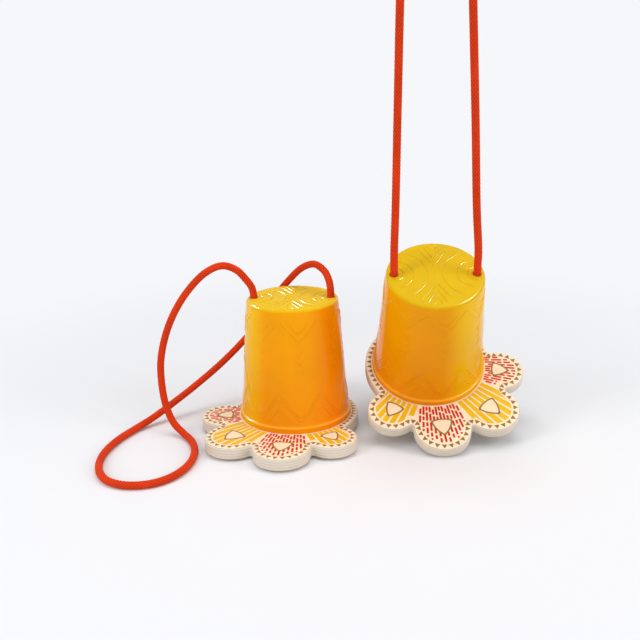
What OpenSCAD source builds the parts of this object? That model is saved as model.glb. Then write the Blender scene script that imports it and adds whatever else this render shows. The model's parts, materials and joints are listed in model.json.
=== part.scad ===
// A pair of cup stilts for a child: two moulded cups, each screwed to a plywood
// paw with rubber pads, and each held up by one knotted cord loop.
// The left stilt stands flat with its cord lying loose. The right stilt is tipped
// onto its front toe and hangs from its taut cord.

/* [Cup] */
// Height of the cup above the wooden foot
cup_h = 120; // [90:1:150]
// Outside diameter of the cup at its top deck
cup_top_d = 90; // [84:1:100]
// Outside diameter of the cup at the foot of its wall
cup_base_d = 108; // [104:1:116]
// Thickness of the cup's side wall
cup_wall = 2.6; // [2:0.1:4]
// Thickness of the deck that the child stands on
deck_t = 3.2; // [2.4:0.1:6]
// Rounding of the cup's top edge
deck_edge_r = 3; // [1:0.5:5]
// Height of the lip round the cup's mouth
lip_h = 6; // [3:0.5:12]
// How far the lip stands out from the wall
lip_out = 2; // [1:0.25:3.5]

/* [Foot] */
// Thickness of the plywood
ply_t = 12; // [9:0.5:18]
// Width of the foot's rim outside the foot of the cup
heel_rim = 9; // [5:0.5:18]
// Width of the foot's rim inside the foot of the cup
hole_rim = 10; // [9:0.5:16]
// Radius of the two middle toes
inner_toe_r = 27; // [24:0.5:29]
// Distance of the middle toes from the cup's axis
inner_toe_reach = 81; // [76:1:90]
// Turn of each middle toe from the paw's own axis
inner_toe_angle = 19; // [17:0.5:22]
// Radius of the two outer toes
outer_toe_r = 24; // [20:0.5:27]
// Distance of the outer toes from the cup's axis
outer_toe_reach = 71; // [66:1:80]
// Turn of each outer toe from the paw's own axis
outer_toe_angle = 57; // [54:0.5:62]
// Radius in the notches between the toes
notch_r = 2.5; // [1:0.5:5]

/* [Pads] */
// Thickness of the rubber pads and the heel strip
pad_t = 2; // [1:0.25:4]
// Diameter of the pads under the middle toes
inner_pad_d = 34; // [24:1:44]
// Diameter of the pads under the outer toes
outer_pad_d = 30; // [20:1:38]
// Width of the heel strip
strip_w = 7; // [5:0.5:10]
// Width of the bare wood between the foot's hole and the heel strip
strip_in_rim = 3; // [1:0.5:5]
// Angle that the heel strip runs through
strip_angle = 180; // [120:5:220]

/* [Screws] */
// Diameter of the screws' shanks
screw_d = 3.5; // [3:0.1:4]
// Diameter of the screws' countersunk heads
screw_head_d = 6.5; // [6:0.1:7.5]
// Length of the screws
screw_l = 25; // [22:0.5:28]
// Distance of the screws' axes from the outside of the cup's foot
screw_rim = 4.5; // [4:0.25:5]
// Turn of each screw from the paw's own axis, and from the heel's
screw_angle = 45; // [35:1:55]
// Diameter of the bosses that take the screws
boss_d = 8.4; // [7.6:0.2:9]
// Height of the bosses above the foot
boss_h = 20; // [17:0.5:30]

/* [Cord] */
// Diameter of the braided cord
cord_d = 7; // [5:0.5:7.5]
// Diameter of the cord holes in the deck
cord_hole_d = 8; // [7.8:0.1:9]
// Distance between the two cord holes of a cup
hole_spread = 75; // [68:1:77]
// Diameter of the stopper knots under the deck
knot_d = 15; // [12:0.5:15.5]
// Height of the stopper knots
knot_h = 11; // [9:0.5:14]
// Length of the cord's tail below each knot
knot_tail = 9; // [5:0.5:20]

/* [Pair] */
// Distance between the two cups' axes, side by side
pair_spread = 134; // [132:1:180]
// Turn of each paw outward from straight ahead
splay = 25; // [10:1:35]
// Lean of the tipped stilt
tilt = 27; // [10:1:35]
// How far the tipped stilt's foot stands behind the upright one's
tipped_back = 20; // [-10:1:40]

/* [Hidden] */
$fn = 96;

// Colours
yellow = [0.93, 0.62, 0.05];
birch = [0.93, 0.87, 0.77];
rubber = [0.09, 0.09, 0.10];
steel = [0.70, 0.71, 0.72];
cord_red = [0.88, 0.23, 0.08];

// One overrun serves every cut
over = 1;
// Clearance of a screw in its hole, and of a knot under the deck
fit_gap = 0.1;
knot_gap = 0.2;
// Gap between the cord's stub in the hole and the leg that turns above it
turn_gap = 0.3;
// Height of the swing axis above the deck
pivot_up = 5;
// How much nearer a knot sits to the cup's axis than its hole
knot_inset = 2;
// Chamfer at the lip's upper edge, and the cross slot in a screw's head
lip_break = 0.8;
slot_w = 1;
slot_len_share = 0.7;
head_h = 1.7;
tip_l = 3;
// Steps, in degrees, of the paw's outline round its toes and in its notches
round_angle = 6;
notch_angle = 20;

// The round heel, the hole, the screws' ring and the heel strip's middle line all
// follow the foot of the cup's wall
heel_r = cup_base_d / 2 + heel_rim;
foot_hole_r = cup_base_d / 2 - hole_rim;
screw_ring_r = cup_base_d / 2 - screw_rim;
strip_r = foot_hole_r + strip_in_rim + strip_w / 2;

// Heights of one stilt, with its sole at zero
foot_z = pad_t;
foot_top_z = foot_z + ply_t;
deck_z = foot_top_z + cup_h;
deck_under_z = deck_z - deck_t;
pivot_z = deck_z + pivot_up;

// Toes, from the outermost on one side to the outermost on the other:
// each is its turn from the paw's axis, its reach, its radius and its pad's radius
toes = [
    [-outer_toe_angle, outer_toe_reach, outer_toe_r, outer_pad_d / 2],
    [-inner_toe_angle, inner_toe_reach, inner_toe_r, inner_pad_d / 2],
    [inner_toe_angle, inner_toe_reach, inner_toe_r, inner_pad_d / 2],
    [outer_toe_angle, outer_toe_reach, outer_toe_r, outer_pad_d / 2]
];

// A paw's own axis points along -Y before it is splayed
function at_turn(turn, reach) = [reach * sin(turn), -reach * cos(turn)];
function toe_at(toe) = at_turn(toe[0], toe[1]);

// The centre of a circle of radius r outside both of two others, touching them,
// on the left of the way from a to b
function kiss(a, ra, b, rb, r) =
    let (d = norm(b - a), u = (b - a) / d, v = [-u[1], u[0]])
    let (da = ra + r, db = rb + r)
    let (along = (da * da - db * db + d * d) / (2 * d))
    a + u * along + v * sqrt(da * da - along * along);

// The rounds of the paw's outline, heel first and then from toe to toe, and the
// centre of the notch between each one and the next
rounds = concat([[[0, 0], heel_r]], [for (toe = toes) [toe_at(toe), toe[2]]]);
function next(i) = rounds[(i + 1) % len(rounds)];
notches = [
    for (i = [0:len(rounds) - 1])
    kiss(next(i)[0], next(i)[1], rounds[i][0], rounds[i][1], notch_r)
];

// An arc from angle a to angle b, without its last point, where the next one starts
function heading(v) = atan2(v[1], v[0]);
function arc(c, r, a, b, step) =
    let (n = ceil(abs(b - a) / step))
    [for (i = [0:n - 1]) let (t = a + (b - a) * i / n) c + r * [cos(t), sin(t)]];
// Round a toe or the heel anticlockwise, and round a notch clockwise
function round_arc(i) =
    let (c = rounds[i][0], before = notches[(i + len(notches) - 1) % len(notches)])
    let (a = heading(before - c), b = heading(notches[i] - c))
    arc(c, rounds[i][1], a, b < a ? b + 360 : b, round_angle);
function notch_arc(i) =
    let (a = heading(rounds[i][0] - notches[i]), b = heading(next(i)[0] - notches[i]))
    arc(notches[i], notch_r, a, b > a ? b - 360 : b, notch_angle);
paw_outline = [
    for (i = [0:len(rounds) - 1]) each concat(round_arc(i), notch_arc(i))
];

// The body of the cup's outside is straight from its foot to its deck
function cup_r(h) = cup_base_d / 2 + (cup_top_d - cup_base_d) / 2 * h / cup_h;

// How the tipped stilt lies: the height of a point at (y, z) before tipping,
// and how far back it comes
function tipped_z(y, z) = y * sin(tilt) + z * cos(tilt);
function tipped_y(y, z) = y * cos(tilt) - z * sin(tilt);
// Each toe's furthest reach straight ahead once the paw is splayed
toe_fronts = [for (toe = toes) [toe[1] * cos(toe[0] + splay), toe[2], toe[3]]];
// The lowest point of the tipped stilt is a toe's lower edge or a pad's
sole_drop = -min([for (t = toe_fronts)
    min(tipped_z(-t[0] - t[1], foot_z), tipped_z(-t[0] - t[2], 0))]);
tipped_pivot_y = tipped_back + tipped_y(0, pivot_z);
tipped_pivot_z = sole_drop + tipped_z(0, pivot_z);

// The pair is centred front to back on the space that it takes, cords left out
pair_front = min(
    min([for (t = toe_fronts) -t[0] - t[1]]),
    tipped_back + min([for (t = toe_fronts) tipped_y(-t[0] - t[1], foot_top_z)]),
    tipped_back + tipped_y(-cup_top_d / 2 + deck_edge_r, deck_z - deck_edge_r)
        - deck_edge_r
);
pair_back = max(heel_r, tipped_back + tipped_y(heel_r, foot_z));
centre_y = -(pair_front + pair_back) / 2;

// The loose cord's route, from one hole of the upright cup over the side, along
// the floor and back over the rim. It is measured from the cup's axis and the floor.
loose_route = [
    [-39, -0.3, 144],
    [-43.5, -1.8, 152],
    [-53, -3.5, 163],
    [-67, -5, 167.5],
    [-84, -6, 160],
    [-101, -8, 143],
    [-115, -10, 122],
    [-125, -12, 99],
    [-131, -14, 74],
    [-131.5, -16, 50],
    [-128.5, -19, 29],
    [-121, -25, 13],
    [-110, -33, 5],
    [-100, -46, 3.5],
    [-93, -64, 3.5],
    [-91, -84, 3.5],
    [-95, -104, 3.5],
    [-105, -121, 3.5],
    [-121, -132, 3.5],
    [-141, -134, 3.5],
    [-159, -126, 3.5],
    [-171, -110, 3.5],
    [-177, -89, 3.5],
    [-177, -66, 3.5],
    [-171, -42, 3.5],
    [-160, -19, 4],
    [-147, -4, 8],
    [-130, 10, 17],
    [-106, 26, 32],
    [-80, 41, 51],
    [-54, 53, 75],
    [-35, 56, 99],
    [-19, 52, 123],
    [-5, 44, 141],
    [8, 33, 155],
    [21, 20, 162],
    [31, 10, 158],
    [35.5, 3.6, 151],
    [37.3, 0.6, 143]
];
// The taut cord's route above its left hole, over the hand and down to its right
// hole, measured from the middle of the swing axis
taut_route = [
    [-36.5, 0, 60],
    [-35.5, 0, 130],
    [-34.5, 0, 200],
    [-33.5, 0, 260],
    [-32.5, 0, 320],
    [-32, 0, 360],
    [-31.5, 0, 380],
    [-28, 0, 393],
    [-19, 0, 402],
    [-8, 0, 405],
    [3, 0, 402],
    [12, 0, 393],
    [16, 0, 380],
    [17.5, 0, 360],
    [20, 0, 320],
    [23.5, 0, 260],
    [27, 0, 200],
    [31, 0, 130],
    [34.5, 0, 60]
];
cord_sides = 10;
// The height at which the loose cord has cleared the deck, and where the taut
// cord's rounded end narrows
clear_up = 1.5;
end_steps = [[0.9, 0.43], [0.7, 0.71]];

// The route of the loose cord from knot to knot, kept off the floor
function on_floor(p) = [p[0], p[1], max(p[2], cord_d / 2)];
function hole_x(side) = side * hole_spread / 2;
loose_path = concat(
    [[hole_x(-1), 0, deck_under_z - knot_gap], [hole_x(-1), 0, deck_z + clear_up]],
    [for (p = loose_route) on_floor(p)],
    [[hole_x(1), 0, deck_z + clear_up], [hole_x(1), 0, deck_under_z - knot_gap]]
);
loose_radii = [for (p = loose_path) cord_d / 2];

// The route of the taut cord, with each end rounded about the swing axis
function end_drop(side, step) = [hole_x(side), 0, -step[0] * cord_d / 2];
taut_path = concat(
    [for (s = end_steps) end_drop(-1, s)],
    [[hole_x(-1), 0, 0]],
    taut_route,
    [[hole_x(1), 0, 0]],
    [for (i = [len(end_steps) - 1:-1:0]) end_drop(1, end_steps[i])]
);
end_radii = [for (s = end_steps) s[1] * cord_d / 2];
taut_radii = concat(
    end_radii,
    [for (i = [0:len(taut_route) + 1]) cord_d / 2],
    [for (i = [len(end_radii) - 1:-1:0]) end_radii[i]]
);

// A tube swept along a path, each ring turned as little as the bends allow
function unit(v) = v / norm(v);
function path_dir(path, i) =
    unit(path[min(i + 1, len(path) - 1)] - path[max(i - 1, 0)]);
function carry(dirs, i, sides) =
    i == len(dirs) ? sides
    : let (last = sides[i - 1])
      carry(dirs, i + 1, concat(sides, [unit(last - (last * dirs[i]) * dirs[i])]));

module tube(path, radii) {
    n = len(path);
    dirs = [for (i = [0:n - 1]) path_dir(path, i)];
    sides = carry(dirs, 1, [unit(cross(dirs[0], [0, 1, 0]))]);
    points = [
        for (i = [0:n - 1], j = [0:cord_sides - 1])
        let (a = 360 * j / cord_sides)
        path[i] + radii[i] * (cos(a) * sides[i] + sin(a) * cross(dirs[i], sides[i]))
    ];
    walls = [
        for (i = [0:n - 2], j = [0:cord_sides - 1])
        let (k = (j + 1) % cord_sides)
        let (a = i * cord_sides + j, b = i * cord_sides + k)
        each [[a, a + cord_sides, b], [b, a + cord_sides, b + cord_sides]]
    ];
    start_cap = [for (j = [0:cord_sides - 1]) j];
    end_cap = [for (j = [cord_sides - 1:-1:0]) (n - 1) * cord_sides + j];
    polyhedron(points, concat([start_cap], walls, [end_cap]));
}

// The outside of the cup as one turned solid, foot at zero
module cup_outside() {
    lip_r = cup_base_d / 2 + lip_out;
    arc_c = [cup_top_d / 2 - deck_edge_r, cup_h - deck_edge_r];
    rotate_extrude()
    polygon(concat(
        [[0, 0], [lip_r, 0], [lip_r, lip_h - lip_break], [lip_r - lip_break, lip_h],
         [cup_r(lip_h), lip_h]],
        [for (a = [0:15:90]) arc_c + deck_edge_r * [cos(a), sin(a)]],
        [[0, cup_h]]
    ));
}

// The hollow of the cup, open at the foot
module cup_hollow() {
    top = cup_h - deck_t;
    rotate_extrude()
    polygon([
        [0, -over], [cup_r(0) - cup_wall, -over], [cup_r(0) - cup_wall, 0],
        [cup_r(top) - cup_wall, top], [0, top]
    ]);
}

// Each screw's place, in the paw's own turn
module at_screws() {
    for (turn = [-screw_angle, screw_angle, 180 - screw_angle, 180 + screw_angle])
        translate(concat(at_turn(turn, screw_ring_r), 0)) children();
}

// A moulded cup with a lip, two cord holes in its deck and four screw bosses
module cup(side) {
    color(yellow)
    translate([0, 0, foot_top_z])
    difference() {
        union() {
            difference() {
                cup_outside();
                cup_hollow();
            }
            intersection() {
                cup_outside();
                rotate([0, 0, side * splay])
                at_screws()
                cylinder(d = boss_d, h = boss_h);
            }
        }
        for (s = [-1, 1])
            translate([hole_x(s), 0, cup_h - deck_t - over])
            cylinder(d = cord_hole_d, h = deck_t + 2 * over);
        rotate([0, 0, side * splay])
        at_screws()
        translate([0, 0, -over])
        cylinder(d = screw_d + fit_gap, h = screw_l - ply_t + 2 * over);
    }
}

// A plywood paw with a round hole under the cup and countersunk screw holes
module foot(side) {
    color(birch)
    translate([0, 0, foot_z])
    rotate([0, 0, side * splay])
    difference() {
        linear_extrude(ply_t) polygon(paw_outline);
        translate([0, 0, -over])
        cylinder(r = foot_hole_r, h = ply_t + 2 * over);
        at_screws() {
            translate([0, 0, -over])
            cylinder(d = screw_d + 2 * fit_gap, h = ply_t + 2 * over);
            screw_head(fit_gap);
        }
    }
}

// The cone of a countersunk head, flush with the foot's lower face
module screw_head(gap) {
    lean = (screw_head_d - screw_d) / 2 / head_h;
    translate([0, 0, -gap])
    cylinder(
        r1 = screw_head_d / 2 + gap + lean * gap,
        r2 = screw_d / 2 + gap,
        h = head_h + gap);
}

// Four countersunk wood screws, heads down
module screws(side) {
    color(steel)
    translate([0, 0, foot_z])
    rotate([0, 0, side * splay])
    at_screws()
    difference() {
        union() {
            screw_head(0);
            cylinder(d = screw_d, h = screw_l - tip_l);
            translate([0, 0, screw_l - tip_l])
            cylinder(d1 = screw_d, d2 = screw_d / 4, h = tip_l);
        }
        for (turn = [0, 90])
            rotate([0, 0, turn])
            cube([slot_len_share * screw_head_d, slot_w, head_h], center = true);
    }
}

// A round rubber pad under one toe
module toe_pad(side, i) {
    color(rubber)
    rotate([0, 0, side * splay])
    translate(concat(toe_at(toes[i]), 0))
    cylinder(r = toes[i][3], h = pad_t);
}

// The curved rubber strip under the heel, with round ends
module heel_strip(side) {
    color(rubber)
    rotate([0, 0, side * splay + 90 - strip_angle / 2]) {
        rotate_extrude(angle = strip_angle)
        translate([strip_r - strip_w / 2, 0])
        square([strip_w, pad_t]);
        for (turn = [0, strip_angle])
            rotate([0, 0, turn])
            translate([strip_r, 0, 0])
            cylinder(d = strip_w, h = pad_t);
    }
}

// A stopper knot under the deck, with the cord's tail below it. The stub is the
// stretch of cord that goes on up into the hole.
module knot(s, stub) {
    bulge = knot_h / 2;
    core = knot_d / 2 - bulge;
    color(cord_red)
    translate([0, 0, deck_under_z - knot_gap]) {
        translate([hole_x(s) - s * knot_inset, 0, -bulge]) {
            rotate_extrude()
            polygon(concat(
                [[0, -bulge]],
                [for (a = [-90:15:90]) [core + bulge * cos(a), bulge * sin(a)]],
                [[0, bulge]]
            ));
            translate([0, 0, -bulge - knot_tail])
            cylinder(d = cord_d, h = knot_tail + bulge);
        }
        if (stub)
            translate([hole_x(s), 0, -bulge])
            cylinder(
                d = cord_d,
                h = bulge + knot_gap + deck_t + pivot_up - cord_d / 2 - turn_gap);
    }
}

// Where the two stilts go: the left one stands, the right one is tipped forward
// about the line through its cord holes
module standing() {
    translate([-pair_spread / 2, centre_y, 0]) children();
}

module tipped() {
    swing_axis()
    rotate([tilt, 0, 0])
    translate([0, 0, -pivot_z])
    children();
}

module swing_axis() {
    translate([pair_spread / 2, centre_y + tipped_pivot_y, tipped_pivot_z]) children();
}

module left_cord() {
    color(cord_red) tube(loose_path, loose_radii);
}

module right_cord() {
    color(cord_red) tube(taut_path, taut_radii);
}

standing() cup(-1);  // left_cup
standing() foot(-1);  // left_foot
standing() toe_pad(-1, 0);  // left_toe_pad_1
standing() toe_pad(-1, 1);  // left_toe_pad_2
standing() toe_pad(-1, 2);  // left_toe_pad_3
standing() toe_pad(-1, 3);  // left_toe_pad_4
standing() heel_strip(-1);  // left_heel_strip
standing() screws(-1);  // left_screws
standing() left_cord();
standing() knot(-1, false);  // left_knot_1
standing() knot(1, false);  // left_knot_2
tipped() cup(1);  // right_cup
tipped() foot(1);  // right_foot
tipped() toe_pad(1, 0);  // right_toe_pad_1
tipped() toe_pad(1, 1);  // right_toe_pad_2
tipped() toe_pad(1, 2);  // right_toe_pad_3
tipped() toe_pad(1, 3);  // right_toe_pad_4
tipped() heel_strip(1);  // right_heel_strip
tipped() screws(1);  // right_screws
swing_axis() right_cord();
tipped() knot(-1, true);  // right_knot_1
tipped() knot(1, true);  // right_knot_2
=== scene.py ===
import json
import math

import bmesh
import bpy
from mathutils import Matrix, Vector


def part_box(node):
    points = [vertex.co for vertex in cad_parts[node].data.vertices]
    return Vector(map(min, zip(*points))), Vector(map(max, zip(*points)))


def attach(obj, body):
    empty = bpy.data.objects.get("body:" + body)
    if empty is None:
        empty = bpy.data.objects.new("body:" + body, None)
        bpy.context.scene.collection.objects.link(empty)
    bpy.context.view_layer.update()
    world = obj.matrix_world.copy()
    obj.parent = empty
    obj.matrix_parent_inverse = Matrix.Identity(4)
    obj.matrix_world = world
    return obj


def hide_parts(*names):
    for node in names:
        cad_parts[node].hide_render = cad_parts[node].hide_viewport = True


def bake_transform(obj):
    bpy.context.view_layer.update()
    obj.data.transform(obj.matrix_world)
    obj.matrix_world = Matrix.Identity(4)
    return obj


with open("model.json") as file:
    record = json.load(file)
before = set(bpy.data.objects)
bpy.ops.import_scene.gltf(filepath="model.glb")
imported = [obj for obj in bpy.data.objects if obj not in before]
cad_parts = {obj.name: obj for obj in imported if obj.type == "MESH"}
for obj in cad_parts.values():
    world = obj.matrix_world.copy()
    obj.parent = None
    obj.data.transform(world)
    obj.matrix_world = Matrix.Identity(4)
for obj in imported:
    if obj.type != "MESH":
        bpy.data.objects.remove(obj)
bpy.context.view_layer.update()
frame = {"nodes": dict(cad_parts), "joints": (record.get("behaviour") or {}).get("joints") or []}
scene = bpy.context.scene


# Where the pair is seen from
# A little above the cups and straight in front, so close that the held cord leaves
# the picture at the top. The focal length is in pixels of the square picture.
PICTURE = 640
FOCUS = 810.4
SENSOR_W = 36
EYE = Vector((-0.0081, -0.7409, 0.3533))
PITCH, YAW, ROLL = 0.3102, 0.0427, -0.0227

ahead = Vector((-math.sin(YAW) * math.cos(PITCH), math.cos(YAW) * math.cos(PITCH), -math.sin(PITCH)))
upward = Vector((-math.sin(YAW) * math.sin(PITCH), math.cos(YAW) * math.sin(PITCH), math.cos(PITCH)))
across = Vector((math.cos(YAW), math.sin(YAW), 0))
rolled_across = math.cos(ROLL) * across + math.sin(ROLL) * upward
rolled_up = math.cos(ROLL) * upward - math.sin(ROLL) * across
eye_data = bpy.data.cameras.new("eye")
eye_data.sensor_width = SENSOR_W
eye_data.lens = FOCUS * SENSOR_W / PICTURE
eye = bpy.data.objects.new("eye", eye_data)
eye.matrix_world = Matrix.Translation(EYE) @ Matrix((rolled_across, rolled_up, -ahead)).transposed().to_4x4()
scene.collection.objects.link(eye)
scene.camera = eye


# The two cords
# Each is one length of 7 mm round braid in red polyester, knotted under both holes
# of its cup. The left one lies loose, the right one is held up by a hand.
CORD_D = 0.007
HOLE_X = 0.0375
SWING = Vector(next(j["pos_m"] for j in frame["joints"] if j["name"] == "right_stilt_swing"))
LEAN = math.radians(27)
PIVOT_Z, DECK_Z, UNDER_Z = 0.139, 0.134, 0.1308
# The held cord bends this far each way from the swing axis, and hangs straight from the next
BEND_REACH, LEG_START = 0.0048, 0.020
BEND_MIDDLE = Vector((0, -0.0006, 0.0003))
# The braid follows the hand's end above the axis, and the cup below it
# Corners closer than this are one
SAME_SPOT = 1e-7
left_low, left_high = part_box("left_cup")
LEFT_AXIS = Vector(((left_low.x + left_high.x) / 2, (left_low.y + left_high.y) / 2, 0))
STILTS = {
    "left": Matrix.Translation(LEFT_AXIS),
    "right": Matrix.Translation(SWING) @ Matrix.Rotation(LEAN, 4, "X")
    @ Matrix.Translation((0, 0, -PIVOT_Z)),
}

# The loose cord from hole to hole, in metres from the left cup's axis and the floor
loose_route = [
    (-0.0375, 0, 0.1306), (-0.0375, 0, 0.1355), (-0.039, -0.0003, 0.144),
    (-0.0435, -0.0018, 0.152), (-0.053, -0.0035, 0.163), (-0.067, -0.005, 0.1675),
    (-0.084, -0.006, 0.160), (-0.101, -0.008, 0.143), (-0.115, -0.010, 0.122),
    (-0.125, -0.012, 0.099), (-0.131, -0.014, 0.074), (-0.1315, -0.016, 0.050),
    (-0.1285, -0.019, 0.029), (-0.121, -0.025, 0.013), (-0.110, -0.033, 0.005),
    (-0.100, -0.046, 0.0035), (-0.093, -0.064, 0.0035), (-0.091, -0.084, 0.0035),
    (-0.095, -0.104, 0.0035), (-0.105, -0.121, 0.0035), (-0.121, -0.132, 0.0035),
    (-0.141, -0.134, 0.0035), (-0.159, -0.126, 0.0035), (-0.171, -0.110, 0.0035),
    (-0.177, -0.089, 0.0035), (-0.177, -0.066, 0.0035), (-0.171, -0.042, 0.0035),
    (-0.160, -0.019, 0.004), (-0.147, -0.004, 0.008), (-0.130, 0.010, 0.017),
    (-0.106, 0.026, 0.032), (-0.080, 0.041, 0.051), (-0.054, 0.053, 0.075),
    (-0.035, 0.056, 0.099), (-0.019, 0.052, 0.123), (-0.005, 0.044, 0.141),
    (0.008, 0.033, 0.155), (0.021, 0.020, 0.162), (0.031, 0.010, 0.158),
    (0.0355, 0.0036, 0.151), (0.0373, 0.0006, 0.143), (0.0375, 0, 0.1355),
    (0.0375, 0, 0.1306),
]
# The held cord above its two holes, in metres from the middle of the swing axis
held_route = [
    (-0.0365, 0, 0.060), (-0.0355, 0, 0.130), (-0.0345, 0, 0.200), (-0.0335, 0, 0.260),
    (-0.0325, 0, 0.320), (-0.032, 0, 0.360), (-0.0315, 0, 0.380), (-0.028, 0, 0.393),
    (-0.019, 0, 0.402), (-0.008, 0, 0.405), (0.003, 0, 0.402), (0.012, 0, 0.393),
    (0.016, 0, 0.380), (0.0175, 0, 0.360), (0.020, 0, 0.320), (0.0235, 0, 0.260),
    (0.027, 0, 0.200), (0.031, 0, 0.130), (0.0345, 0, 0.060),
]


def held_end(side):
    """The way up through a hole of the leaning cup, eased round to hang straight."""
    hole = SWING + Vector((side * HOLE_X, 0, 0))
    out = Vector((0, -math.sin(LEAN), math.cos(LEAN)))
    stem = [hole - drop * out for drop in (PIVOT_Z - UNDER_Z, BEND_REACH)]
    leg = [hole + Vector((0, 0, rise)) for rise in (BEND_REACH, LEG_START)]
    return stem + [hole + BEND_MIDDLE] + leg


routes = {
    "left": [STILTS["left"] @ Vector(p) for p in loose_route],
    "right": held_end(-1) + [SWING + Vector(p) for p in held_route] + held_end(1)[::-1],
}


def reaches(line):
    """How far along the line each of its points lies."""
    reach = [0.0]
    for a, b in zip(line, line[1:]):
        reach.append(reach[-1] + (b - a).length)
    return reach


def spots_at(line, wants):
    """The points that lie so far along the line, each with the number of its stretch."""
    reach = reaches(line)
    spots = []
    k = 0
    for want in wants:
        while k < len(line) - 2 and reach[k + 1] < want:
            k += 1
        spots.append((k, line[k].lerp(line[k + 1], (want - reach[k]) / (reach[k + 1] - reach[k]))))
    return spots


def laid_line(points, spacing, lowest=0.0):
    """A smooth line through the points, in even steps, that stays above the floor."""
    parts = 16
    ends = [2 * points[0] - points[1]] + points + [2 * points[-1] - points[-2]]
    fine = []
    for a, b, c, d in zip(ends, ends[1:], ends[2:], ends[3:]):
        for k in range(parts):
            t = k / parts
            fine.append(0.5 * (2 * b + (c - a) * t + (2 * a - 5 * b + 4 * c - d) * t * t
                               + (3 * b - a - 3 * c + d) * t ** 3))
    fine.append(points[-1].copy())
    for p in fine:
        p.z = max(p.z, lowest)
    total = reaches(fine)[-1]
    steps = round(total / spacing)
    return [p for k, p in spots_at(fine, [total * i / steps for i in range(steps + 1)])]


def grid_corners(mesh, rows, count):
    """A flat grid's corners, each with its row and step, ready to be rolled into a tube."""
    made = bmesh.ops.create_grid(
        mesh, x_segments=count, y_segments=rows - 1, size=0.5, calc_uvs=True)["verts"]
    return [(v, round((v.co.y + 0.5) * (rows - 1)), round((v.co.x + 0.5) * count)) for v in made]


def smoothed(mesh):
    for face in mesh.faces:
        face.smooth = True


def finished(mesh, name, materials, body, sharp=35):
    """The mesh as a piece in its place, smooth but for its sharp edges."""
    for edge in mesh.edges:
        edge.smooth = edge.calc_face_angle(0) < math.radians(sharp)
    data = bpy.data.meshes.new(name)
    mesh.to_mesh(data)
    mesh.free()
    for material in materials:
        data.materials.append(material)
    piece = bpy.data.objects.new(name, data)
    scene.collection.objects.link(piece)
    if body:
        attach(piece, body)
    return piece


# Eight carriers each way cross into diamonds round the cord
CARRIERS = 8
SUBSTEPS = 4
DIAMOND = 0.0036
DIP = 0.00035
BRAID_SHARP = 80


def braid_dip(row, step):
    """How deep the braid is here, from 0 on a carrier's back to 1 between carriers."""
    over = math.sin(math.pi * (step + row) / SUBSTEPS) * math.sin(math.pi * (step - row) / SUBSTEPS)
    return 1 - math.sqrt(abs(over))


def braided(mesh, line, thick):
    """A braided tube round the line, whose rings turn no more than its bends do."""
    dip = mesh.verts.layers.float.new("dip")
    mesh.loops.layers.uv.new("UVMap")
    ways = [(line[min(i + 1, len(line) - 1)] - line[max(i - 1, 0)]).normalized() for i in range(len(line))]
    side = ways[0].cross(Vector((0, 1, 0))).normalized()
    ring_axes = []
    for way in ways:
        side = (side - side.dot(way) * way).normalized()
        ring_axes.append((side, way.cross(side)))
    sides = CARRIERS * SUBSTEPS
    corners = grid_corners(mesh, len(line), sides)
    for v, row, step in corners:
        angle = 2 * math.pi * step / sides
        depth = braid_dip(row, step)
        a, b = ring_axes[row]
        v.co = line[row] + (thick(row) - DIP * depth) * (math.cos(angle) * a + math.sin(angle) * b)
        v[dip] = depth
    bmesh.ops.remove_doubles(mesh, verts=[v for v, row, step in corners], dist=SAME_SPOT)
    bmesh.ops.holes_fill(mesh, edges=mesh.edges, sides=0)
    bmesh.ops.recalc_face_normals(mesh, faces=mesh.faces)
    smoothed(mesh)


def add(tree, kind, inputs=None, **settings):
    """A shader node with its settings, its numbers and what feeds it."""
    made = tree.nodes.new("ShaderNode" + kind)
    for name, value in settings.items():
        setattr(made, name, value)
    for name, value in (inputs or {}).items():
        if isinstance(value, bpy.types.NodeSocket):
            tree.links.new(value, made.inputs[name])
        else:
            made.inputs[name].default_value = value
    return made


def kept(tree, name, output="Fac"):
    """What the mesh keeps at each corner under this name."""
    return add(tree, "Attribute", attribute_name=name, attribute_type="GEOMETRY").outputs[output]


def noise(tree, where, scale, detail, **more):
    return add(tree, "TexNoise", {"Vector": where, "Scale": scale, "Detail": detail, **more}).outputs["Fac"]


def maths(tree, operation, a, b):
    return add(tree, "Math", {0: a, 1: b}, operation=operation).outputs[0]


def spread(tree, value, start, stop, low=0.0, high=1.0, **settings):
    """The value as it goes from start to stop, made to go from low to high."""
    spans = {"Value": value, "From Min": start, "From Max": stop, "To Min": low, "To Max": high}
    return add(tree, "MapRange", spans, **settings).outputs["Result"]


def mixed(tree, factor, a, b, **settings):
    """Colour a where the factor is 0 and colour b where it is 1."""
    a, b = (end if isinstance(end, bpy.types.NodeSocket) else (*end, 1) for end in (a, b))
    made = add(tree, "Mix", {"Factor": factor, "A": a, "B": b}, data_type="RGBA", **settings)
    return made.outputs["Result"]


def brighter(tree, colour, value):
    return add(tree, "HueSaturation", {"Color": colour, "Value": value}).outputs["Color"]


def bump(tree, height, strength, distance, **more):
    inputs = {"Height": height, "Strength": strength, "Distance": distance, **more}
    return add(tree, "Bump", inputs).outputs["Normal"]


def ramp(tree, value, *stops):
    """A colour ramp whose stops are pairs of a place and a colour."""
    made = add(tree, "ValToRGB", {"Fac": value})
    band = made.color_ramp
    band.elements[0].position, band.elements[0].color = stops[0][0], (*stops[0][1], 1)
    band.elements[1].position, band.elements[1].color = stops[-1][0], (*stops[-1][1], 1)
    for place, colour in stops[1:-1]:
        band.elements.new(place).color = (*colour, 1)
    return made.outputs["Color"]


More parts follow.
